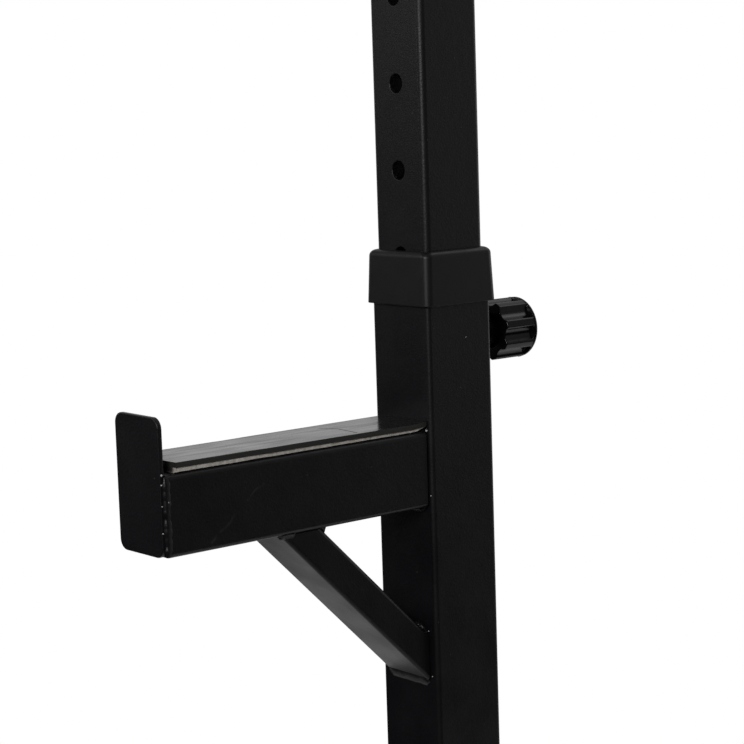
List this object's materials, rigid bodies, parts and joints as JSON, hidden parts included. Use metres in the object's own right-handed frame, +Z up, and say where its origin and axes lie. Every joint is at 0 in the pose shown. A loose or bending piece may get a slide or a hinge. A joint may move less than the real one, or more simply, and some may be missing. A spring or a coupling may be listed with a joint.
{
  "type": "squat stand",
  "caption": "Adjustable barbell squat stand with a floor base, telescoping square post, bar cradle, spotter arm and sprung pull pin.",
  "frame": {"origin": "on the floor, in the middle of the base", "axes": "+Z up, the spotter arm points towards -Y, the pull knob towards +Y, X side to side"},
  "size_m": [0.42, 0.5, 1.394],
  "materials": {
    "black_powder_coat": "satin powder coat",
    "black_moulded_plastic": "fine moulded grain",
    "black_gloss_plastic": "polished moulding",
    "black_rubber": "matt",
    "black_strip_rubber": "smooth, glossy top",
    "foam_tape": "matt adhesive foam",
    "zinc_plated_steel": "bright zinc plate"
  },
  "bodies": {
    "stand": {"base_rail": "black_powder_coat", "front_foot_tube": "black_powder_coat", "rear_foot_tube": "black_powder_coat", "foot_end_plugs": "black_moulded_plastic", "rubber_feet": "black_rubber", "foot_screws": "zinc_plated_steel", "base_welds": "black_powder_coat", "post_foot_plate": "black_powder_coat", "post_gussets": "black_powder_coat", "base_bolts": "zinc_plated_steel", "base_washers": "zinc_plated_steel", "base_nuts": "zinc_plated_steel", "lower_post": "black_powder_coat", "post_welds": "black_powder_coat", "post_collar": "black_moulded_plastic", "spotter_arm": "black_powder_coat", "arm_end_plate": "black_powder_coat", "arm_brace": "black_powder_coat", "arm_welds": "black_powder_coat", "arm_rubber_strip": "black_strip_rubber", "arm_strip_tape": "foam_tape", "pin_housing": "black_powder_coat", "lock_spring": "zinc_plated_steel"},
    "sliding_post": {"inner_post": "black_powder_coat", "inner_post_glide": "black_moulded_plastic", "bar_cradle": "black_powder_coat", "cradle_liner": "black_rubber", "cradle_welds": "black_powder_coat"},
    "pin": {"lock_pin": "zinc_plated_steel", "knob_nut": "zinc_plated_steel"},
    "knob": {"pull_knob": "black_gloss_plastic", "knob_cover": "black_gloss_plastic"}
  },
  "joints": [
    {"name": "height_slide", "type": "slide", "parent": "stand", "child": "sliding_post", "axis": [0, 0, 1], "range_m": [-0.35, 0.25]},
    {"name": "pin_pull", "type": "slide", "parent": "stand", "child": "pin", "axis": [0, 1, 0], "range_m": [0, 0.006], "stiffness_N_per_m": 1800, "springref_m": -0.006, "deforming": ["lock_spring"]},
    {"name": "knob_turn", "type": "hinge", "parent": "pin", "child": "knob", "pos_m": [0, 0.105, 0.851], "axis": [0, 1, 0], "continuous": true}
  ]
}
